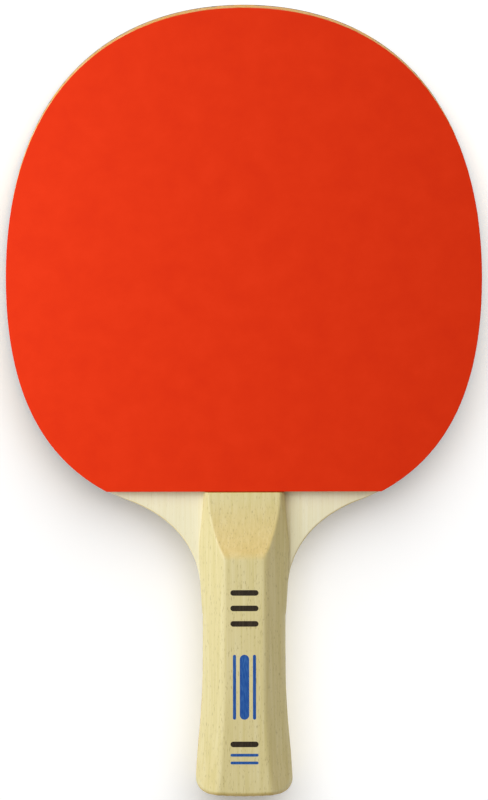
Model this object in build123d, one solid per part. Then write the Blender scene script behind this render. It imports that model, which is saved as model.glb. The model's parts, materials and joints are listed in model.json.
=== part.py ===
from build123d import *
import math
import os

# Table tennis paddle: a five-ply blade with a glued handle scale on each face of its tongue,
# and a pimples-in rubber (sponge and topsheet) on each face of its head.
# X runs across the blade, Y along the handle to the head's tip, Z out of the front face.
# All sizes are millimetres and degrees.

# Head
head_width = 152.0
head_length = 155.2  # from the tip to the straight edge of the rubbers
widest_from_tip = 86.7
tip_fullness = 0.56  # share of the half width that the tip's curve runs level
upper_fullness = 0.69  # share of the way up to the tip that the sides run straight
lower_side_pull = 37.4

# Shoulders, where the head sweeps in to the handle
shoulder_width = 73.2
shoulder_below_edge = 3.4
shoulder_angle = 21.3
shoulder_pull_out = 29.2
shoulder_pull_in = 23.0

# Handle outline
handle_length = 98.0  # from the straight edge of the rubbers to the butt
flush_width = 27.8  # where the scales' sides become flush with the blade's edges
flush_below_edge = 32.3
flush_lean = 3.1
flush_pull_up = 4.8
flush_pull_down = 15.8
waist_width = 26.5
waist_below_edge = 51.2
waist_pull = 21.0
butt_width = 31.6
butt_lean = 3.6
butt_pull = 17.0
butt_bulge = 1.0
butt_corner_radius = 4.5

# Plies of the blade
core_thickness = 3.2
cross_ply_thickness = 0.7
face_veneer_thickness = 0.6

# Rubbers
sponge_thickness = 1.8
topsheet_thickness = 1.6  # sheet and pimples together
rubber_gap = 0.2  # clearance between a rubber's straight edge and the handle's end

# Handle scales
scale_end_width = 25.8
scale_end_lean = 3.4
scale_end_pull = 19.0
scale_flush_pull = 20.9
grip_height = 8.4  # of one scale, from the neck to the waist
butt_height = 9.1
grip_flat_width = 13.4
butt_flat_width = 18.4
flare_below_edge = 59.0  # where the scales begin to thicken and widen toward the butt
bevel_angle = 44.0
bevel_top_radius = 2.4
scoop_length = 22.0
scoop_end_height = 3.7
scoop_radius = 48.0
scoop_lip_length = 3.0  # the rounded lip between a scoop and the flat top
scoop_lip_drop = 0.6
scoop_lip_overrun = 0.02  # the lip's arc runs out this far above the flat top
section_count = 9  # of a scale's loft, evenly spaced

# Derived places, with the blade's middle plane at Z = 0 until the parts are lifted
overall_length = head_length + handle_length
tip_y = overall_length / 2
butt_y = -overall_length / 2
edge_y = tip_y - head_length
widest_y = tip_y - widest_from_tip
shoulder_y = edge_y - shoulder_below_edge
flush_y = edge_y - flush_below_edge
waist_y = edge_y - waist_below_edge
flare_y = edge_y - flare_below_edge
scale_end_y = edge_y - rubber_gap
cross_ply_z = core_thickness / 2
veneer_z = cross_ply_z + cross_ply_thickness
blade_face_z = veneer_z + face_veneer_thickness
topsheet_z = blade_face_z + sponge_thickness


def heading(angle):
    # unit vector that points to the butt, turned outward (+X) by the angle
    return Vector(math.sin(math.radians(angle)), -math.cos(math.radians(angle)))


def side_curve(start, start_heading, start_pull, end, end_heading, end_pull):
    return Bezier(start, start + start_heading * start_pull, end - end_heading * end_pull, end)


tip = Vector(0, tip_y)
widest = Vector(head_width / 2, widest_y)
shoulder = Vector(shoulder_width / 2, shoulder_y)
flush = Vector(flush_width / 2, flush_y)
waist = Vector(waist_width / 2, waist_y)
butt_side = Vector(butt_width / 2, butt_y + butt_bulge)
down = heading(0)
shoulder_heading = heading(shoulder_angle - 90)
flush_heading = heading(-flush_lean)


def head_side():
    # right side of the head, from the tip to the shoulder
    tip_pull = tip_fullness * head_width / 2
    upper_pull = upper_fullness * widest_from_tip
    return [
        side_curve(tip, heading(90), tip_pull, widest, down, upper_pull),
        side_curve(widest, down, lower_side_pull, shoulder, shoulder_heading, shoulder_pull_out),
    ]


def neck_side():
    return side_curve(shoulder, shoulder_heading, shoulder_pull_in, flush, flush_heading, flush_pull_up)


def grip_side():
    # right side of blade and scales, from the flush point round the butt's corner
    lean = heading(butt_lean)
    inward = lean.rotate(Axis.Z, -90)
    butt_radius = ((butt_width / 2) ** 2 + butt_bulge**2) / (2 * butt_bulge)
    butt_centre = Vector(0, butt_y + butt_radius)
    # the corner's arc touches the side's line, through butt_side, and the butt's arc
    base = butt_side + inward * butt_corner_radius - butt_centre
    half = base.dot(lean)
    reach = butt_radius - butt_corner_radius
    centre = butt_centre + base + lean * (math.sqrt(half**2 - base.dot(base) + reach**2) - half)
    corner_start = centre - inward * butt_corner_radius
    to_butt = (centre - butt_centre).normalized()
    corner_end = centre + to_butt * butt_corner_radius
    corner_middle = centre + (to_butt - inward).normalized() * butt_corner_radius
    return [
        side_curve(flush, flush_heading, flush_pull_down, waist, down, waist_pull),
        side_curve(waist, down, waist_pull, corner_start, lean, butt_pull),
        ThreePointArc(corner_start, corner_middle, corner_end),
    ]


def mirrored(edges):
    return [edge.mirror(Plane.YZ) for edge in edges]


def closed_face(right_side, *across):
    # face between a right side, its mirror image and the edges that run across
    return Face(Wire([*right_side, *mirrored(right_side), *across]))


def butt_arc(right_side):
    end = right_side[-1] @ 1
    return ThreePointArc(Vector(-end.X, end.Y), Vector(0, butt_y), end)


def blade_face():
    side = [*head_side(), neck_side(), *grip_side()]
    return closed_face(side, butt_arc(side))


def rubber_face():
    upper, lower = head_side()
    lower = lower.split(Plane.XZ.offset(-edge_y), keep=Keep.BOTTOM)
    corner = min((lower @ 0, lower @ 1), key=lambda point: point.Y)
    return closed_face([upper, lower], Line(Vector(-corner.X, corner.Y), corner))


def scale_face():
    end = Vector(scale_end_width / 2, scale_end_y)
    side = side_curve(end, heading(scale_end_lean), scale_end_pull, flush, flush_heading, scale_flush_pull)
    sides = [side, *grip_side()]
    return closed_face(sides, butt_arc(sides), Line(Vector(-end.X, end.Y), end))


def plate(face, bottom_z, thickness):
    return Solid.extrude(Pos(0, 0, bottom_z) * face, Vector(0, 0, thickness))


def bevel_section(y):
    # section of a scale across the handle: a flat top, rounded into two slanted bevels
    flare = max(0, (flare_y - y) / (flare_y - butt_y)) ** 2
    flat_width = grip_flat_width + flare * (butt_flat_width - grip_flat_width)
    depth = blade_face_z + grip_height + flare * (butt_height - grip_height)
    spread = depth / math.tan(math.radians(bevel_angle))
    half_flat = flat_width / 2
    half_base = half_flat + spread
    plane = Plane(origin=(0, y, 0), x_dir=(1, 0, 0), z_dir=(0, -1, 0))
    face = make_face(
        Polyline((-half_base, 0), (half_base, 0), (half_flat, depth), (-half_flat, depth), close=True)
    )
    face = fillet(face.vertices().sort_by(Axis.Y)[-2:], bevel_top_radius)
    return plane * face


def scoop_tool():
    # each scale is ground hollow next to the rubber, for the thumb and the forefinger
    low_z = blade_face_z + scoop_end_height
    high_z = blade_face_z + grip_height
    clear_z = blade_face_z + 2 * butt_height
    ahead_y = scale_end_y + scoop_length
    lip_end = Vector(scale_end_y - scoop_length, high_z + scoop_lip_overrun)
    lip_start = Vector(lip_end.X + scoop_lip_length, high_z - scoop_lip_drop)
    scoop = RadiusArc(lip_start, (scale_end_y, low_z), -scoop_radius)
    lip = TangentArc(lip_start, lip_end, tangent=-(scoop % 0))
    outside = Polyline(
        (scale_end_y, low_z), (ahead_y, low_z), (ahead_y, clear_z), (lip_end.X, clear_z), lip_end
    )
    profile = Plane.YZ * make_face(Curve() + [scoop, lip, outside])
    return extrude(profile, butt_width, both=True)


def handle_scale():
    step = handle_length / (section_count - 1)
    envelope = loft([bevel_section(edge_y - i * step) for i in range(section_count)])
    return plate(scale_face(), blade_face_z, 2 * butt_height) & envelope - scoop_tool()


blade = blade_face()
rubber = rubber_face()

parts = {
    "blade_core": plate(blade, -core_thickness / 2, core_thickness),
    "front_cross_ply": plate(blade, cross_ply_z, cross_ply_thickness),
    "front_face_veneer": plate(blade, veneer_z, face_veneer_thickness),
    "front_handle_scale": handle_scale(),
    "front_sponge": plate(rubber, blade_face_z, sponge_thickness),
    "front_topsheet": plate(rubber, topsheet_z, topsheet_thickness),
}
for name in [name for name in parts if name.startswith("front_")]:
    parts[name.replace("front_", "back_")] = parts[name].mirror(Plane.XY)

lowest_z = min(part.bounding_box().min.Z for part in parts.values())
os.makedirs("parts", exist_ok=True)
for name, part in parts.items():
    export_step(Pos(0, 0, -lowest_z) * part, f"parts/{name}.step")
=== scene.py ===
import json
import math

import bpy
import numpy as np
from mathutils import Matrix, Vector

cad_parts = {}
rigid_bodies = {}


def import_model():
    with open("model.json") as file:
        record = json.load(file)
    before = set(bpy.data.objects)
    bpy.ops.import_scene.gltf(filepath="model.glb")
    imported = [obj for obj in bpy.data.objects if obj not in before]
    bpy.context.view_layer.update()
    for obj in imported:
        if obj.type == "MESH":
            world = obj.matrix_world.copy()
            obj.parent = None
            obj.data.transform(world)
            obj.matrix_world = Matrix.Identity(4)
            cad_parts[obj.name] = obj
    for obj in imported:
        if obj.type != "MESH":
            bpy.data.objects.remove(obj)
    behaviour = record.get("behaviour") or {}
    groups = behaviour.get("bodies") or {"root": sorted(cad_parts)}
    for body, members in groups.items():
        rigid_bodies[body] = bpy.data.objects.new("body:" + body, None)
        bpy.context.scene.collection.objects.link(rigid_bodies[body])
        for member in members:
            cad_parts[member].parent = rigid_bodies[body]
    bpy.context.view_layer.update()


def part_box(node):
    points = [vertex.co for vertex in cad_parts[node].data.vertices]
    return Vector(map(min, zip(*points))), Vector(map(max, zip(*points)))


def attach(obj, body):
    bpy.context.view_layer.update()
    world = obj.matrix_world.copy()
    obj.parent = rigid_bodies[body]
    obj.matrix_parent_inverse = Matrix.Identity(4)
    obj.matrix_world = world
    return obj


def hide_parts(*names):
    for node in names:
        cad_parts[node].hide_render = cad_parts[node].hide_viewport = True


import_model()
mm = 0.001

# The blade's plan in millimetres. Y runs from the butt to the head's tip.
blade = {
    "tipFullness": 0.56,
    "upperFullness": 0.69,
    "widestFromTip": 86.7,
    "lowerSidePull": 37.4,
    "shoulderHalfWidth": 36.6,
    "shoulderBelowEdge": 3.4,
    "shoulderAngle": 21.3,
    "shoulderPullOut": 29.2,
    "shoulderPullIn": 23.0,
    "flushHalfWidth": 13.9,
    "flushBelowEdge": 32.3,
    "flushLean": 3.1,
    "flushPullUp": 4.8,
    "flushPullDown": 15.8,
    "waistHalfWidth": 13.25,
    "waistBelowEdge": 51.2,
    "waistPull": 21.0,
    "buttHalfWidth": 15.8,
    "buttLean": 3.6,
    "buttPull": 17.0,
    "buttBulge": 1.0,
    "buttCorner": 4.5,
    "pointSpacing": 0.7,
}

coreLow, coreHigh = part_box("blade_core")
spongeLow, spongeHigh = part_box("front_sponge")
scaleLow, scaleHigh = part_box("front_handle_scale")
tipY = coreHigh.y / mm
buttY = coreLow.y / mm
headHalfWidth = coreHigh.x / mm
edgeY = spongeLow.y / mm
scaleEndY = scaleHigh.y / mm
middleZ = (coreLow.z + coreHigh.z) / 2 / mm
faceZ = scaleLow.z / mm - middleZ  # the blade's face above its middle plane


def heading(angle):
    # towards the butt, turned outward by the angle
    return np.array([math.sin(math.radians(angle)), -math.cos(math.radians(angle))])


def sideCurve(start, startHeading, startPull, end, endHeading, endPull):
    t = np.linspace(0, 1, 160)[:, None]
    near, far = start + startHeading * startPull, end - endHeading * endPull
    return (1 - t) ** 3 * start + 3 * (1 - t) ** 2 * t * near + 3 * (1 - t) * t * t * far + t**3 * end


def evenly(points, step):
    # the same line with points at even steps
    length = np.concatenate([[0], np.cumsum(np.hypot(*np.diff(points, axis=0).T))])
    wanted = np.linspace(0, length[-1], max(2, round(length[-1] / step) + 1))
    return np.stack([np.interp(wanted, length, points[:, i]) for i in (0, 1)], 1)


def mirrored(points):
    return points[::-1] * [-1, 1]


tip = np.array([0, tipY])
widest = np.array([headHalfWidth, tipY - blade["widestFromTip"]])
shoulder = np.array([blade["shoulderHalfWidth"], edgeY - blade["shoulderBelowEdge"]])
flush = np.array([blade["flushHalfWidth"], edgeY - blade["flushBelowEdge"]])
waist = np.array([blade["waistHalfWidth"], edgeY - blade["waistBelowEdge"]])
buttSide = np.array([blade["buttHalfWidth"], buttY + blade["buttBulge"]])
down, shoulderWay, flushWay = heading(0), heading(blade["shoulderAngle"] - 90), heading(-blade["flushLean"])


def headSide():
    tipPull = blade["tipFullness"] * headHalfWidth
    upperPull = blade["upperFullness"] * blade["widestFromTip"]
    return np.vstack([
        sideCurve(tip, heading(90), tipPull, widest, down, upperPull),
        sideCurve(widest, down, blade["lowerSidePull"], shoulder, shoulderWay, blade["shoulderPullOut"])[1:],
    ])


def neckSide():
    return sideCurve(shoulder, shoulderWay, blade["shoulderPullIn"], flush, flushWay, blade["flushPullUp"])


def gripSide():
    # from where the scales are flush with the blade to the middle of the butt, with its rounded corner
    lean, radius = heading(blade["buttLean"]), blade["buttCorner"]
    buttRadius = (blade["buttHalfWidth"] ** 2 + blade["buttBulge"] ** 2) / 2 / blade["buttBulge"]
    buttCentre = np.array([0, buttY + buttRadius])
    inward = np.array([lean[1], -lean[0]])  # the corner's arc touches the side and the butt's arc
    base = buttSide + inward * radius - buttCentre
    half = base @ lean
    along = -half + math.sqrt(half**2 - base @ base + (buttRadius - radius) ** 2)
    centre = buttSide + inward * radius + lean * along
    touchSide, touchButt = -inward, (centre - buttCentre) / (buttRadius - radius)
    turn = np.linspace(math.atan2(touchSide[1], touchSide[0]), math.atan2(touchButt[1], touchButt[0]), 24)
    corner = centre + radius * np.stack([np.cos(turn), np.sin(turn)], 1)
    swing = np.linspace(math.atan2(touchButt[1], touchButt[0]), -math.pi / 2, 24)[1:]
    butt = buttCentre + buttRadius * np.stack([np.cos(swing), np.sin(swing)], 1)
    return np.vstack([
        sideCurve(flush, flushWay, blade["flushPullDown"], waist, down, blade["waistPull"]),
        sideCurve(waist, down, blade["waistPull"], corner[0], lean, blade["buttPull"])[1:],
        corner[1:],
        butt,
    ])


def closed(rightSide):
    # right side from top to bottom, then the left side back up
    points = evenly(rightSide, blade["pointSpacing"])
    return np.vstack([points, mirrored(points)[1:-1]])


def bladePlan():
    return closed(np.vstack([headSide(), neckSide()[1:], gripSide()[1:]]))


def rubberPlan():
    side = headSide()
    below = np.argmax(side[:, 1] < edgeY)
    cornerX = np.interp(-edgeY, -side[below - 1:below + 1, 1], side[below - 1:below + 1, 0])
    side = evenly(np.vstack([side[:below], [cornerX, edgeY]]), blade["pointSpacing"])
    cut = evenly(np.array([[cornerX, edgeY], [-cornerX, edgeY]]), 2.0)[1:-1]
    return np.vstack([side, cut, mirrored(side)[:-1]])


def outwardNormals(plan):
    run = np.roll(plan, -1, 0) - np.roll(plan, 1, 0)
    run /= np.hypot(*run.T)[:, None]
    return np.stack([-run[:, 1], run[:, 0]], 1) * (1 if signedArea(plan) < 0 else -1)


def signedArea(plan):
    x, y = plan.T
    return 0.5 * np.sum(x * np.roll(y, -1) - np.roll(x, -1) * y)


def addPiece(name, vertices, faces, smooth, nodes, material):
    # vertices in millimetres about the blade's middle plane; smooth says which faces shade smoothly
    mesh = bpy.data.meshes.new(name)
    mesh.from_pydata((np.array(vertices) * mm + [0, 0, middleZ * mm]).tolist(), [], faces)
    mesh.polygons.foreach_set("use_smooth", list(smooth))
    mesh.validate()
    piece = bpy.data.objects.new(name, mesh)
    bpy.context.scene.collection.objects.link(piece)
    mesh.materials.append(material)
    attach(piece, "root")
    if nodes:
        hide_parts(*nodes)
    return piece


def plateRings(plan, lowZ, highZ, lowEase, highEase, rough=0.0, seed=0):
    # rings of points from the bottom face's rim, round both eased edges, to the top face's rim
    normals = outwardNormals(plan)
    wander = np.random.default_rng(seed).normal(0, 1, len(plan))
    wander = (wander + np.roll(wander, 1) + np.roll(wander, 2)) / 3 * rough
    rings = []
    for ease, z, sign in ((lowEase, lowZ, 1), (highEase, highZ, -1)):
        for angle in (0, 30, 60, 90)[::sign]:
            a = math.radians(angle)
            inset = ease * (1 - math.sin(a)) - wander
            height = z + sign * ease * (1 - math.cos(a))
            ring = plan - normals * np.reshape(inset, (-1, 1))
            rings.append(np.column_stack([ring, np.broadcast_to(height, len(plan))]))
    return rings


def ringFaces(ringCount, count, flip):
    faces = []
    for r in range(ringCount - 1):
        for i in range(count):
            j = (i + 1) % count
            quad = [r * count + i, r * count + j, (r + 1) * count + j, (r + 1) * count + i]
            faces.append(quad[::-1] if flip else quad)
    return faces


def addPlate(name, plan, lowZ, highZ, lowEase, highEase, slot, nodes, material, rough=0.0, seed=0):
    rings = plateRings(plan, lowZ, highZ, lowEase, highEase, rough, seed)
    count, flip = len(plan), signedArea(plan) < 0
    faces = ringFaces(len(rings), count, flip)
    smooth = [True] * len(faces) + [False, False]
    bottom, top = list(range(count)), list(range((len(rings) - 1) * count, len(rings) * count))
    faces += [bottom if flip else bottom[::-1], top[::-1] if flip else top]
    return addPiece(name, np.vstack(rings), faces, smooth, nodes, material)


# Materials
def linear(hexColour):
    channels = [int(hexColour[i:i + 2], 16) / 255 for i in (1, 3, 5)]
    return [c / 12.92 if c <= 0.04045 else ((c + 0.055) / 1.055) ** 2.4 for c in channels] + [1.0]


def addNode(tree, kind, settings={}, links={}):
    # settings go to properties or sockets, links say which output feeds a socket
    node = tree.nodes.new(kind)
    for name, value in settings.items():
        if isinstance(name, str) and hasattr(node, name):
            setattr(node, name, value)
        else:
            node.inputs[name].default_value = value
    for socket, source in links.items():
        tree.links.new(source, node.inputs[socket])
    return node


def newMaterial(name):
    material = bpy.data.materials.new(name)
    material.use_nodes = True
    tree = material.node_tree
    tree.nodes.clear()
    shader = addNode(tree, "ShaderNodeBsdfPrincipled")
    addNode(tree, "ShaderNodeOutputMaterial", {}, {"Surface": shader.outputs["BSDF"]})
    return material, tree, shader


def grainSpace(tree, size, turn=(0, 0, 0), shift=(0, 0, 0)):
    # object space in which one unit is the given size in millimetres along X, Y and Z
    place = addNode(tree, "ShaderNodeTexCoord")
    scale = [1000 / s for s in size]
    settings = {"vector_type": "POINT", "Scale": scale, "Rotation": turn, "Location": shift}
    return addNode(tree, "ShaderNodeMapping", settings, {"Vector": place.outputs["Object"]}).outputs["Vector"]


def ramp(tree, value, stops):
    node = addNode(tree, "ShaderNodeValToRGB", {}, {"Fac": value})
    elements = node.color_ramp.elements
    while len(elements) < len(stops):
        elements.new(0.5)
    for element, (position, colour) in zip(elements, stops):
        element.position = position
        element.color = linear(colour) if isinstance(colour, str) else [colour] * 3 + [1]
    return node.outputs["Color"]


def sandedWood(name, look):
    # Sanded or sliced timber: fine streaks along the grain, slow bands of growth and short dark pores
    material, tree, shader = newMaterial(name)
    lengthwise = look["grain"]  # X or Y

    def size(width, length):
        return (length, width, width) if lengthwise == "X" else (width, length, width)

    shift = look["shift"]
    streaks = addNode(
        tree, "ShaderNodeTexNoise", {"Scale": 1.0, "Detail": 3.0, "Roughness": 0.6},
        {"Vector": grainSpace(tree, size(look["streakWidth"], look["streakLength"]), shift=shift)},
    ).outputs["Fac"]
    bands = addNode(
        tree, "ShaderNodeTexNoise", {"Scale": 1.0, "Detail": 2.0, "Roughness": 0.5, "Distortion": 0.4},
        {"Vector": grainSpace(tree, size(look["bandWidth"], look["bandLength"]), shift=shift)},
    ).outputs["Fac"]
    pores = addNode(
        tree, "ShaderNodeTexNoise", {"Scale": 1.0, "Detail": 1.0, "Roughness": 0.5},
        {"Vector": grainSpace(tree, size(look["poreWidth"], look["poreLength"]), shift=shift)},
    ).outputs["Fac"]
    poreMask = ramp(tree, pores, [(look["poreStart"], 0.0), (look["poreStart"] + 0.06, 1.0)])
    figure = addNode(
        tree, "ShaderNodeMix", {"data_type": "FLOAT", 0: look["bandShare"]}, {2: streaks, 3: bands}
    ).outputs[0]
    colour = ramp(tree, figure, [(0.36, look["dark"]), (0.5, look["middle"]), (0.66, look["light"])])
    # where the cut runs across the fibres, the open ends drink the finish and look darker
    facing = addNode(
        tree, "ShaderNodeSeparateXYZ", {}, {0: addNode(tree, "ShaderNodeNewGeometry").outputs["Normal"]}
    ).outputs[lengthwise]
    across = addNode(tree, "ShaderNodeMath", {"operation": "ABSOLUTE"}, {0: facing}).outputs[0]
    endShare = addNode(
        tree, "ShaderNodeMapRange",
        {"From Min": 0.06, "From Max": 0.9, "To Min": 0.0, "To Max": 1.0, "interpolation_type": "SMOOTHSTEP"},
        {"Value": across},
    ).outputs["Result"]
    endRoot = addNode(tree, "ShaderNodeMath", {"operation": "POWER", 1: 0.45}, {0: endShare}).outputs[0]
    endColour = addNode(
        tree, "ShaderNodeMix", {"data_type": "RGBA", "blend_type": "MULTIPLY", 7: linear(look["endTint"])},
        {0: endRoot, 6: colour},
    ).outputs[2]
    share = addNode(
        tree, "ShaderNodeMath", {"operation": "MULTIPLY", 1: look["poreShare"]}, {0: poreMask}
    ).outputs[0]
    flecked = addNode(
        tree, "ShaderNodeMix", {"data_type": "RGBA", "blend_type": "MIX", 7: linear(look["pore"])},
        {0: share, 6: endColour},
    )
    tree.links.new(flecked.outputs[2], shader.inputs["Base Color"])
    shine = addNode(
        tree, "ShaderNodeMapRange",
        {
            "From Min": 0.3, "From Max": 0.7,
            "To Min": look["roughness"] + 0.06, "To Max": look["roughness"] - 0.06,
        },
        {"Value": figure},
    ).outputs["Result"]
    tree.links.new(shine, shader.inputs["Roughness"])
    relief = addNode(
        tree, "ShaderNodeMath", {"operation": "SUBTRACT"}, {0: streaks, 1: poreMask}
    ).outputs[0]
    bump = addNode(
        tree, "ShaderNodeBump", {"Strength": 1.0, "Distance": look["relief"] * mm}, {"Height": relief}
    )
    tree.links.new(bump.outputs["Normal"], shader.inputs["Normal"])
    shader.inputs["IOR"].default_value = 1.5
    shader.inputs["Coat Weight"].default_value = look["coat"]
    shader.inputs["Coat Roughness"].default_value = 0.35
    return material


# Limba, sliced and sanded bare: a pale, even face with fine, straight streaks
limba = sandedWood("slicedLimba", {
    "grain": "Y", "shift": (3.1, 0.4, 0),
    "streakWidth": 0.55, "streakLength": 34, "bandWidth": 6, "bandLength": 200, "bandShare": 0.25,
    "poreWidth": 0.3, "poreLength": 2.4, "poreStart": 0.68, "poreShare": 0.22,
    "dark": "#EEE5BC", "middle": "#F1E9C3", "light": "#F4EDCC", "pore": "#C4B384", "endTint": "#F6E6C0",
    "roughness": 0.52, "relief": 0.02, "coat": 0.0,
})
# Spruce cross ply, peeled and glued across the grain: a thin amber line at the rim
spruce = sandedWood("peeledSpruce", {
    "grain": "X", "shift": (0.7, 2.2, 0),
    "streakWidth": 0.4, "streakLength": 24, "bandWidth": 3, "bandLength": 90, "bandShare": 0.3,
    "poreWidth": 0.3, "poreLength": 2.0, "poreStart": 0.64, "poreShare": 0.4,
    "dark": "#BE8E42", "middle": "#CC9E50", "light": "#D8AE62", "pore": "#7E5A2A", "endTint": "#E0BC80",
    "roughness": 0.62, "relief": 0.04, "coat": 0.0,
})
# Ayous core, sawn thick: soft and open-grained, with a dusty straw-coloured edge
ayous = sandedWood("sawnAyous", {
    "grain": "Y", "shift": (5.2, 1.3, 0),
    "streakWidth": 0.6, "streakLength": 22, "bandWidth": 5, "bandLength": 120, "bandShare": 0.3,
    "poreWidth": 0.35, "poreLength": 3.0, "poreStart": 0.62, "poreShare": 0.45,
    "dark": "#E6BE66", "middle": "#EECB76", "light": "#F3D588", "pore": "#A07C3C", "endTint": "#F0D49A",
    "roughness": 0.66, "relief": 0.05, "coat": 0.0,
})
# Basswood handle, machined, sanded and sealed: a soft sheen over cream-green wood with short pores
basswood = sandedWood("sealedBasswood", {
    "grain": "Y", "shift": (1.7, 3.3, 0),
    "streakWidth": 0.8, "streakLength": 30, "bandWidth": 5, "bandLength": 220, "bandShare": 0.3,
    "poreWidth": 0.3, "poreLength": 1.8, "poreStart": 0.645, "poreShare": 0.42,
    "dark": "#DACB8A", "middle": "#E1D296", "light": "#E7DAA4", "pore": "#A08E4E", "endTint": "#F2DCA4",
    "roughness": 0.42, "relief": 0.03, "coat": 0.1,
})


def mouldedRubber(name, look):
    # Vulcanised natural rubber, pressed on a polished plate: an even satin skin with a faint cloudiness
    material, tree, shader = newMaterial(name)
    cloud = addNode(
        tree, "ShaderNodeTexNoise", {"Scale": 1.0, "Detail": 4.0, "Roughness": 0.6},
        {"Vector": grainSpace(tree, (9, 9, 9))},
    ).outputs["Fac"]
    skin = addNode(
        tree, "ShaderNodeTexNoise", {"Scale": 1.0, "Detail": 3.0, "Roughness": 0.7},
        {"Vector": grainSpace(tree, (0.7, 0.7, 0.7))},
    ).outputs["Fac"]
    colour = ramp(tree, cloud, [(0.3, look["dark"]), (0.5, look["middle"]), (0.7, look["light"])])
    tree.links.new(colour, shader.inputs["Base Color"])
    shine = addNode(
        tree, "ShaderNodeMapRange",
        {
            "From Min": 0.3, "From Max": 0.7,
            "To Min": look["roughness"] - 0.05, "To Max": look["roughness"] + 0.05,
        },
        {"Value": cloud},
    ).outputs["Result"]
    tree.links.new(shine, shader.inputs["Roughness"])
    bump = addNode(
        tree, "ShaderNodeBump", {"Strength": 1.0, "Distance": look["relief"] * mm}, {"Height": skin}
    )
    tree.links.new(bump.outputs["Normal"], shader.inputs["Normal"])
    shader.inputs["IOR"].default_value = 1.52
    shader.inputs["Specular IOR Level"].default_value = look["gloss"]
    return material


redRubber = mouldedRubber("mouldedRedRubber", {
    "dark": "#E03009", "middle": "#E33208", "light": "#E6340A",
    "roughness": 0.5, "gloss": 0.09, "relief": 0.012,
})
blackRubber = mouldedRubber("mouldedBlackRubber", {
    "dark": "#17171A", "middle": "#1B1B1E", "light": "#202023",
    "roughness": 0.42, "gloss": 0.4, "relief": 0.012,
})


def openCellSponge():
    # Foamed natural rubber, sliced and knife-cut: matt, with cut-open cells whose hollows are drawn as dark
    # pin-holes of painted shade
    material, tree, shader = newMaterial("slicedYellowSponge")
    cells = addNode(
        tree, "ShaderNodeTexVoronoi", {"Scale": 1.0, "feature": "F1"},
        {"Vector": grainSpace(tree, (0.45, 0.45, 0.45))},
    ).outputs["Distance"]
    patches = addNode(
        tree, "ShaderNodeTexNoise", {"Scale": 1.0, "Detail": 2.0}, {"Vector": grainSpace(tree, (4, 4, 4))}
    ).outputs["Fac"]
    body = ramp(tree, patches, [(0.35, "#DE9A2C"), (0.65, "#EDB245")])
    # painted shade: the centres of the cut cells are darkened in the base colour, standing in for the shade
    # inside their hollows
    paintedCellShade = ramp(tree, cells, [(0.12, 1.0), (0.3, 0.0)])
    pittedWithPaintedShade = addNode(
        tree, "ShaderNodeMix", {"data_type": "RGBA", 7: linear("#9A5F14")}, {0: paintedCellShade, 6: body}
    )
    tree.links.new(pittedWithPaintedShade.outputs[2], shader.inputs["Base Color"])
    bump = addNode(
        tree, "ShaderNodeBump", {"Strength": 0.8, "Distance": 0.12 * mm}, {"Height": cells}
    )
    tree.links.new(bump.outputs["Normal"], shader.inputs["Normal"])
    shader.inputs["Roughness"].default_value = 0.85
    shader.inputs["IOR"].default_value = 1.45
    return material


def printedInk(name, dark, light):
    # Screen-printed ink on open grain: flat and satin, a little thinner where the pores swallow it
    material, tree, shader = newMaterial(name)
    thin = addNode(
        tree, "ShaderNodeTexNoise", {"Scale": 1.0, "Detail": 2.0},
        {"Vector": grainSpace(tree, (0.3, 2.4, 0.3))},
    ).outputs["Fac"]
    colour = ramp(tree, thin, [(0.45, dark), (0.75, light)])
    tree.links.new(colour, shader.inputs["Base Color"])
    bump = addNode(
        tree, "ShaderNodeBump", {"Strength": 0.5, "Distance": 0.02 * mm}, {"Height": thin}
    )
    tree.links.new(bump.outputs["Normal"], shader.inputs["Normal"])
    shader.inputs["Roughness"].default_value = 0.5
    shader.inputs["Specular IOR Level"].default_value = 0.3
    return material


sponge = openCellSponge()
blackInk = printedInk("blackScreenInk", "#2A2012", "#403523")
blueInk = printedInk("blueScreenInk", "#17509C", "#3D72B2")
print("materials made")

# Blade
bladeRim = bladePlan()
plies = {
    "coreEase": 0.05,
    "veneerEase": 0.06,
    "shoulderEase": 0.5,  # where the bare edge is sanded for the hand
    "edgeWander": 0.02,
}
coreTop = coreHigh.z / mm - middleZ
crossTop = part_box("front_cross_ply")[1].z / mm - middleZ
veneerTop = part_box("front_face_veneer")[1].z / mm - middleZ
bare = np.clip((edgeY - 1.0 - bladeRim[:, 1]) / 3, 0, 1) * np.clip((bladeRim[:, 1] - flush[1]) / 8, 0, 1)
veneerEase = plies["veneerEase"] + (plies["shoulderEase"] - plies["veneerEase"]) * bare
addPlate(
    "bladeCore", bladeRim, -coreTop, coreTop, plies["coreEase"], plies["coreEase"],
    "core_wood", ["blade_core"], ayous, plies["edgeWander"], 1,
)
for side, sign in (("front", 1), ("back", -1)):
    for ply, low, high, outer, slot, wood, seed in (
        ("CrossPly", coreTop, crossTop, plies["coreEase"], "cross_ply_wood", spruce, 2),
        ("FaceVeneer", crossTop, veneerTop, veneerEase, "face_veneer_wood", limba, 3),
    ):
        coreSide = plies["coreEase"]
        levels = (low, high, coreSide, outer) if sign > 0 else (-high, -low, outer, coreSide)
        node = f"{side}_cross_ply" if ply == "CrossPly" else f"{side}_face_veneer"
        addPlate(side + ply, bladeRim, *levels, slot, [node], wood, plies["edgeWander"], seed + sign)
print("blade pressed")

# Rubbers
rubber = {
    "sheetThickness": 0.7,
    "sheetEase": 0.12,
    "pimplePitch": 2.4,
    "pimpleFootRadius": 1.05,
    "pimpleTipRadius": 0.85,
    "pimpleSides": 10,
    "spongeWander": 0.05,
}
rubberRim = rubberPlan()
spongeTop = spongeHigh.z / mm - middleZ
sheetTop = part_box("front_topsheet")[1].z / mm - middleZ
sheetBottom = sheetTop - rubber["sheetThickness"]


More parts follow.
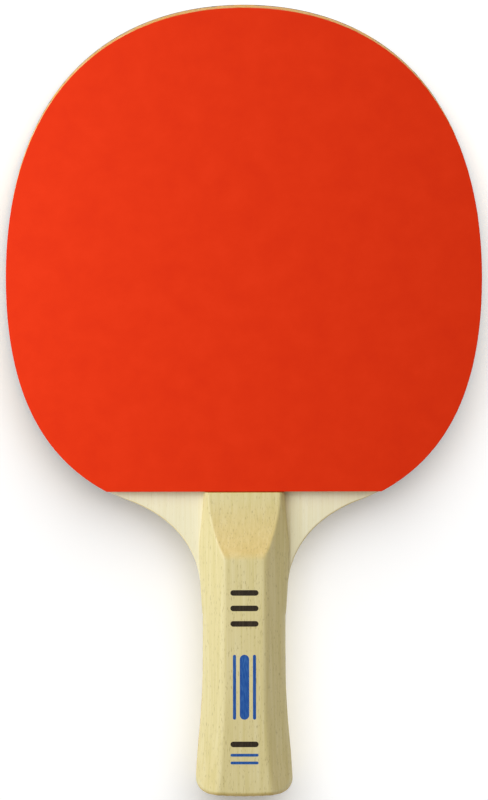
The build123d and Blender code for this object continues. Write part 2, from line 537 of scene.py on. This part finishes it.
def keptInside(points, rim, normals, margin):
    # points outside the rim are cut back to it, as a knife cuts the pimples along the rubber's edge
    kept = points.copy()
    for start in range(0, len(points), 4000):
        block = kept[start:start + 4000]
        nearest = np.argmin(((block[:, None] - rim[None]) ** 2).sum(2), 1)
        out = ((block - rim[nearest]) * normals[nearest]).sum(1) + margin
        block -= normals[nearest] * np.maximum(out, 0)[:, None]
    return kept


def pimpleField():
    pitch, rise = rubber["pimplePitch"], rubber["pimplePitch"] * math.sqrt(3) / 2
    dense = evenly(np.vstack([rubberRim, rubberRim[:1]]), 0.25)[:-1]
    normals = outwardNormals(dense)
    rows = np.arange(edgeY + 0.6, tipY, rise)
    columns = np.arange(-headHalfWidth, headHalfWidth + pitch, pitch)
    centres = np.array([(x + pitch / 2 * (i % 2), y) for i, y in enumerate(rows) for x in columns])
    nearest = np.concatenate([
        np.argmin(((centres[s:s + 2000, None] - dense[None]) ** 2).sum(2), 1)
        for s in range(0, len(centres), 2000)
    ])
    out = ((centres - dense[nearest]) * normals[nearest]).sum(1)
    centres = centres[out < 0.3]
    turn = np.arange(rubber["pimpleSides"]) * 2 * math.pi / rubber["pimpleSides"]
    spoke = np.stack([np.cos(turn), np.sin(turn)], 1)
    levels = []
    for radius, z in ((rubber["pimpleFootRadius"], sheetBottom), (rubber["pimpleTipRadius"], spongeTop)):
        ring = (centres[:, None] + spoke[None] * radius).reshape(-1, 2)
        ring = keptInside(ring, dense, normals, 0.03)
        levels.append(np.column_stack([ring, np.full(len(ring), z)]))
    return levels, len(centres)


def addTopsheet(name, sign, node, material, levels, count):
    plan = rubberRim
    rings = plateRings(plan, sheetBottom, sheetTop, 0.03, rubber["sheetEase"])
    n, clockwise = len(plan), signedArea(plan) < 0
    vertices = list(np.vstack(rings))
    faces = ringFaces(len(rings), n, clockwise)
    bottom, top = list(range(n)), list(range((len(rings) - 1) * n, len(rings) * n))
    faces += [bottom if clockwise else bottom[::-1], top[::-1] if clockwise else top]
    smooth = [True] * (len(faces) - 2) + [False, False]
    sides = rubber["pimpleSides"]
    first = len(vertices)
    vertices += list(levels[0]) + list(levels[1])
    for p in range(count):
        foot = [first + p * sides + i for i in range(sides)]
        tipRing = [i + count * sides for i in foot]
        for i in range(sides):
            j = (i + 1) % sides
            faces.append([tipRing[i], tipRing[j], foot[j], foot[i]])
            smooth.append(True)
        faces += [foot, tipRing[::-1]]
        smooth += [False, False]
    vertices = np.array(vertices)
    if sign < 0:
        vertices = vertices * [1, 1, -1]
        faces = [face[::-1] for face in faces]
    return addPiece(name, vertices, faces, smooth, [node], material)


pimples, pimpleCount = pimpleField()
addTopsheet("redTopsheet", 1, "front_topsheet", redRubber, pimples, pimpleCount)
addTopsheet("blackTopsheet", -1, "back_topsheet", blackRubber, pimples, pimpleCount)
for side, levels, seed in (("front", (veneerTop, spongeTop), 11), ("back", (-spongeTop, -veneerTop), 12)):
    pad = addPlate(
        side + "SpongeSheet", rubberRim, *levels, 0.04, 0.04,
        "yellow_sponge", [side + "_sponge"], sponge, rubber["spongeWander"], seed,
    )
print("rubbers glued,", pimpleCount, "pimples each")

# Handle
grip = {
    "endHalfWidth": 12.9,
    "endLean": 3.4,
    "endPull": 19.0,
    "flushPull": 20.9,
    "height": 8.4,
    "flareBelowEdge": 59.0,
    "flatHalfWidth": 6.7,
    "buttFlatHalfWidth": 9.2,
    "bevelAngle": 44.0,
    "bevelBlend": 1.1,
    "scoopLength": 22.0,
    "scoopEndHeight": 3.7,
    "scoopRadius": 48.0,
    "lipLength": 3.0,
    "lipDrop": 0.6,
    "lipBlend": 0.7,
    "scoopEdgeBlend": 0.3,
    "sideEase": 1.5,
    "endEase": 0.2,
}
buttHeight = (scaleHigh.z - scaleLow.z) / mm
flareY = edgeY - grip["flareBelowEdge"]


def softMinimum(a, b, blend):
    return np.minimum(a, b) - np.maximum(blend - np.abs(a - b), 0) ** 2 / 4 / blend


def scoopHeight(y):
    # a drum of a large radius grinds the end hollow, from beside the rubber up to the lip
    end = np.array([scaleEndY, grip["scoopEndHeight"]])
    lip = np.array([scaleEndY - grip["scoopLength"] + grip["lipLength"], grip["height"] - grip["lipDrop"]])
    chord = lip - end
    across = np.array([-chord[1], chord[0]]) / np.hypot(*chord)
    across *= np.sign(across[1])
    centre = (end + lip) / 2 + across * math.sqrt(grip["scoopRadius"] ** 2 - chord @ chord / 4)
    reach = np.clip(np.abs(y - centre[0]), 0, grip["scoopRadius"] * 0.8)
    return centre[1] - np.sqrt(grip["scoopRadius"] ** 2 - reach**2)


def topHeight(x, y):
    # height of a scale's top over the blade's face, before its outer edges are eased
    flare = np.clip((flareY - y) / (flareY - buttY), 0, None) ** 2
    flat = grip["flatHalfWidth"] + flare * (grip["buttFlatHalfWidth"] - grip["flatHalfWidth"])
    height = grip["height"] + flare * (buttHeight - grip["height"])
    crown = softMinimum(height, scoopHeight(y), grip["lipBlend"])
    bevel = height - (np.abs(x) - flat) * math.tan(math.radians(grip["bevelAngle"]))
    sharpness = np.clip((height - crown) / 1.2, 0, 1)
    blend = grip["bevelBlend"] + (grip["scoopEdgeBlend"] - grip["bevelBlend"]) * sharpness
    return softMinimum(crown, bevel, blend)


def gridLine(total, edgeSteps, middleStep, bothEnds):
    # positions from 0 to 1 along a line of the given length, dense near its ends
    near = np.array(edgeSteps)
    low = near if bothEnds else np.array([0, 0.06, 0.15, 0.3])
    middle = np.arange(low[-1] + middleStep, total - near[-1], middleStep)
    return np.concatenate([low, middle, total - near[::-1]]) / total


def scaleSide():
    start = np.array([grip["endHalfWidth"], scaleEndY])
    upper = sideCurve(start, heading(grip["endLean"]), grip["endPull"], flush, flushWay, grip["flushPull"])
    side = evenly(np.vstack([upper, gripSide()[1:]]), 0.2)
    corner = np.argmax(side[:, 0] - side[:, 1])  # half way round the butt's corner
    return side[:corner + 1], side[corner:]


def along(points, share):
    length = np.concatenate([[0], np.cumsum(np.hypot(*np.diff(points, axis=0).T))])
    return np.stack([np.interp(share * length[-1], length, points[:, i]) for i in (0, 1)], 1)


def scaleVertices():
    side, halfButt = scaleSide()
    butt = np.vstack([halfButt * [-1, 1], halfButt[::-1][1:]])  # from the left corner to the right
    edgeSteps = [0, 0.05, 0.14, 0.28, 0.46, 0.68, 0.95, 1.25, 1.6]
    u = gridLine(2 * grip["endHalfWidth"], edgeSteps, 0.33, True)
    v = gridLine(scaleEndY - buttY, edgeSteps, 0.4, False)
    front = np.column_stack([(2 * u - 1) * grip["endHalfWidth"], np.full(len(u), scaleEndY)])
    left, right, rear = along(side * [-1, 1], v), along(side, v), along(butt, u)
    uu, vv = u[None, :, None], v[:, None, None]
    grid = (
        (1 - vv) * front[None] + vv * rear[None] + (1 - uu) * left[:, None] + uu * right[:, None]
        - (1 - uu) * (1 - vv) * left[0] - uu * (1 - vv) * right[0]
        - (1 - uu) * vv * left[-1] - uu * vv * right[-1]
    )
    flatGrid = grid.reshape(-1, 2)
    rim = np.vstack([side * [-1, 1], butt, side])
    distance = np.concatenate([
        np.sqrt(((flatGrid[s:s + 3000, None] - rim[None]) ** 2).sum(2)).min(1)
        for s in range(0, len(flatGrid), 3000)
    ])
    height = topHeight(*flatGrid.T)
    ease = np.clip(0.55 * height, 0.3, grip["sideEase"])
    inside = np.clip(distance, 0, ease)
    height = height - (ease - np.sqrt(ease**2 - (ease - inside) ** 2))
    fromEnd = np.clip(scaleEndY - flatGrid[:, 1], 0, grip["endEase"])
    height -= grip["endEase"] - np.sqrt(grip["endEase"] ** 2 - (grip["endEase"] - fromEnd) ** 2)
    return np.column_stack([flatGrid, height + faceZ]), len(u), len(v)


def addScale(name, sign, node):
    top, columns, rows = scaleVertices()
    faces, smooth = [], []
    for r in range(rows - 1):
        for c in range(columns - 1):
            a = r * columns + c
            faces.append([a, a + columns, a + columns + 1, a + 1])
    loop = (
        [c for c in range(columns)]
        + [r * columns + columns - 1 for r in range(1, rows)]
        + [(rows - 1) * columns + c for c in range(columns - 2, -1, -1)]
        + [r * columns for r in range(rows - 2, 0, -1)]
    )
    vertices = list(top)
    ring, previous = np.array([top[i] for i in loop]), loop
    smooth = [True] * len(faces)
    for level in (0.04, 0.0):  # down the upright sides to the blade
        lower = ring.copy()
        lower[:, 2] = faceZ + level
        first = len(vertices)
        vertices += list(lower)
        current = list(range(first, first + len(loop)))
        for i in range(len(loop)):
            j = (i + 1) % len(loop)
            faces.append([previous[i], previous[j], current[j], current[i]])
            smooth.append(True)
        previous = current
    faces.append(previous)
    smooth.append(False)
    vertices = np.array(vertices)
    if sign < 0:
        vertices = vertices * [1, 1, -1]
        faces = [face[::-1] for face in faces]
    piece = addPiece(name, vertices, faces, smooth, [node], basswood)
    mesh = piece.data
    front = [p.index for p in mesh.polygons if abs(p.normal.y) > 0.99 and p.center.y > (scaleEndY - 0.1) * mm]
    for index in front:
        mesh.polygons[index].use_smooth = False
    return piece


addScale("frontHandleScale", 1, "front_handle_scale")
addScale("backHandleScale", -1, "back_handle_scale")
print("handle scales glued")

# Printed decoration, plain strips with round ends: the place across the handle, the place below
# the rubber's edge, the length and the width, and for a stripe its start and end below the edge
prints = {
    "bars": [(0.0, 32.0, 9.0, 1.8), (0.0, 37.0, 9.0, 1.8), (0.0, 42.0, 9.0, 1.8)],
    "stripes": [(0.0, 52.0, 73.0, 3.0), (-3.2, 52.0, 73.0, 1.0), (3.2, 52.0, 73.0, 1.0)],
    "band": (0.0, 81.0, 9.0, 1.8),
    "lines": [(0.0, 84.5, 9.0, 0.9), (0.0, 87.0, 9.0, 0.9)],
    "thickness": 0.03,
    "endHalfWidth": 0.01,
    "stripeSteps": 40,
    "crosswiseSteps": 24,
}


def roundEnded(reach, width):
    # half width of a strip at points that lie this far from its nearer end
    square = (width / 2) ** 2 - (width / 2 - reach) ** 2
    return np.sqrt(np.maximum(square, prints["endHalfWidth"] ** 2))


def addPrint(name, left, right, material):
    # a strip of ink between two lines of points, a hair above the wood
    points = np.vstack([left, right])
    top = topHeight(*points.T) + faceZ
    count, film = len(left), prints["thickness"]
    vertices = np.vstack([np.column_stack([points, top - film]), np.column_stack([points, top + film])])
    faces = []
    for i in range(count - 1):
        a, b, c, d = i, i + 1, count + i + 1, count + i
        faces += [[d, c, b, a], [b + 2 * count, c + 2 * count, d + 2 * count, a + 2 * count]]
        faces += [[b, b + 2 * count, a + 2 * count, a], [d + 2 * count, c + 2 * count, c, d]]
    faces += [[2 * count, 3 * count, count, 0], [2 * count - 1, 4 * count - 1, 3 * count - 1, count - 1]]
    return addPiece(name, vertices, faces, [False] * len(faces), [], material)


for number, (x, start, end, width) in enumerate(prints["stripes"]):
    below = start + (end - start) * (1 - np.cos(np.linspace(0, math.pi, prints["stripeSteps"]))) / 2
    half = roundEnded(np.minimum(np.minimum(below - start, end - below), width / 2), width)
    left = np.column_stack([x - half, edgeY - below])
    right = np.column_stack([x + half, edgeY - below])
    addPrint(f"blueStripe{number + 1}", left, right, blueInk)
crosswise = [(f"blackBar{number + 1}", bar, blackInk) for number, bar in enumerate(prints["bars"])]
crosswise.append(("blackBand", prints["band"], blackInk))
crosswise += [(f"blueLine{number + 1}", line, blueInk) for number, line in enumerate(prints["lines"])]
for name, (x, below, length, width), ink in crosswise:
    across = length / 2 * -np.cos(np.linspace(0, math.pi, prints["crosswiseSteps"]))
    half = roundEnded(np.minimum(length / 2 - np.abs(across), width / 2), width)
    lower = np.column_stack([x + across, edgeY - below - half])
    upper = np.column_stack([x + across, edgeY - below + half])
    addPrint(name, lower, upper, ink)
print("decoration printed")


# Floor, lights and camera
studio = {
    "balanceBelowWidest": 12.0,
    "floorSize": 6.0,
    "floorGlow": 0.14,
    "cameraDistance": 3.0,
    "cameraTilt": 7.0,
    "cameraSide": 0.5,
    "cameraRoll": -0.05,
    "cameraShift": (0.0, 0.55),
    "frameHeight": 256.0,
    "airGlow": 0.27,
    "overheadPlace": (0.0, 0.75, 0.95),
    "overheadSize": 0.8,
    "overheadPower": 4.7,
    "paperPlace": (0.0, 1.5, 1.8),
    "paperSize": 3.2,
    "paperPower": 84.0,
    "keyPlace": (-0.3, 0.06, 0.29),
    "keySize": 0.26,
    "keyPower": 1.52,
}


def restingPlane():
    # laid down, the paddle touches with the back handle's lip and the head's rim, on each side of its balance
    shown = [o for o in bpy.data.objects if o.type == "MESH" and o.parent and not o.hide_render]
    points = np.array([v.co[:] for o in shown for v in o.data.vertices])[:, 1:]
    balance = widest[1] * mm - studio["balanceBelowWidest"] * mm
    ahead, behind = points[points[:, 0] > balance], points[points[:, 0] < balance]
    slope = 0.0
    for _ in range(8):
        toe = ahead[np.argmin(ahead[:, 1] - slope * ahead[:, 0])]
        heel = behind[np.argmin(behind[:, 1] - slope * behind[:, 0])]
        slope = (toe[1] - heel[1]) / (toe[0] - heel[0])
    return heel, slope


heel, slope = restingPlane()
floorMesh = bpy.data.meshes.new("floor")
reach = studio["floorSize"] / 2
corners = [
    (x * reach, y * reach, heel[1] + (y * reach - heel[0]) * slope)
    for x, y in ((-1, -1), (1, -1), (1, 1), (-1, 1))
]
floorMesh.from_pydata(corners, [], [[0, 1, 2, 3]])
floor = bpy.data.objects.new("floor", floorMesh)
bpy.context.scene.collection.objects.link(floor)
paper, _, paperShader = newMaterial("whiteBackgroundPaper")
paperShader.inputs["Base Color"].default_value = linear("#F8F8F8")
paperShader.inputs["Emission Color"].default_value = linear("#FFFFFF")
paperShader.inputs["Emission Strength"].default_value = studio["floorGlow"]
paperShader.inputs["Roughness"].default_value = 0.9
floorMesh.materials.append(paper)


def addSoftbox(name, place, size, power, colour, lit):
    # a diffused lamp that lights the pieces of one collection
    light = bpy.data.lights.new(name, "AREA")
    light.shape, light.size, light.energy = "SQUARE", size, power
    light.color = linear(colour)[:3]
    lamp = bpy.data.objects.new(name, light)
    bpy.context.scene.collection.objects.link(lamp)
    lamp.location = place
    lamp.rotation_euler = (-Vector(place)).to_track_quat("-Z", "Y").to_euler()
    lamp.visible_camera = False
    lamp.light_linking.receiver_collection = lit


# a cool key and a warm overhead light the paddle alone, and a third lights the white paper round it
litPieces, litPaper = bpy.data.collections.new("litPieces"), bpy.data.collections.new("litPaper")
for piece in bpy.data.objects:
    if piece.type == "MESH":
        (litPaper if piece == floor else litPieces).objects.link(piece)
for name, colour, lit in (
    ("key", "#EAF1FF", litPieces), ("overhead", "#FFF3DC", litPieces), ("paper", "#FFFFFF", litPaper)
):
    addSoftbox(
        f"{name}Softbox", studio[f"{name}Place"], studio[f"{name}Size"], studio[f"{name}Power"], colour, lit
    )
world = bpy.data.worlds.new("studioAir")
world.use_nodes = True
world.node_tree.nodes["Background"].inputs["Color"].default_value = linear("#FFFFFF")
world.node_tree.nodes["Background"].inputs["Strength"].default_value = studio["airGlow"]
bpy.context.scene.world = world
bpy.context.scene.view_settings.view_transform = "Standard"

camera = bpy.data.objects.new("camera", bpy.data.cameras.new("camera"))
bpy.context.scene.collection.objects.link(camera)
tilt, lean = math.radians(studio["cameraTilt"]), math.radians(studio["cameraSide"])
shiftX, shiftY = studio["cameraShift"]
target = Vector((shiftX, shiftY, middleZ + faceZ)) * mm
away = Vector((-math.sin(lean), math.sin(tilt) * math.cos(lean), math.cos(tilt) * math.cos(lean)))
camera.location = target + away * studio["cameraDistance"]
right = Vector((0, 1, 0)).cross(away).normalized()
turned = Matrix((right, away.cross(right), away)).transposed()  # turned so that the head's tip is up
camera.rotation_euler = (turned @ Matrix.Rotation(math.radians(studio["cameraRoll"]), 3, "Z")).to_euler()
camera.data.sensor_fit = "VERTICAL"
camera.data.sensor_height = 36.0
camera.data.sensor_width = 36.0
camera.data.lens = 36.0 * studio["cameraDistance"] / (studio["frameHeight"] * mm)
camera.data.clip_end = 20.0
bpy.context.scene.camera = camera
print("studio set")
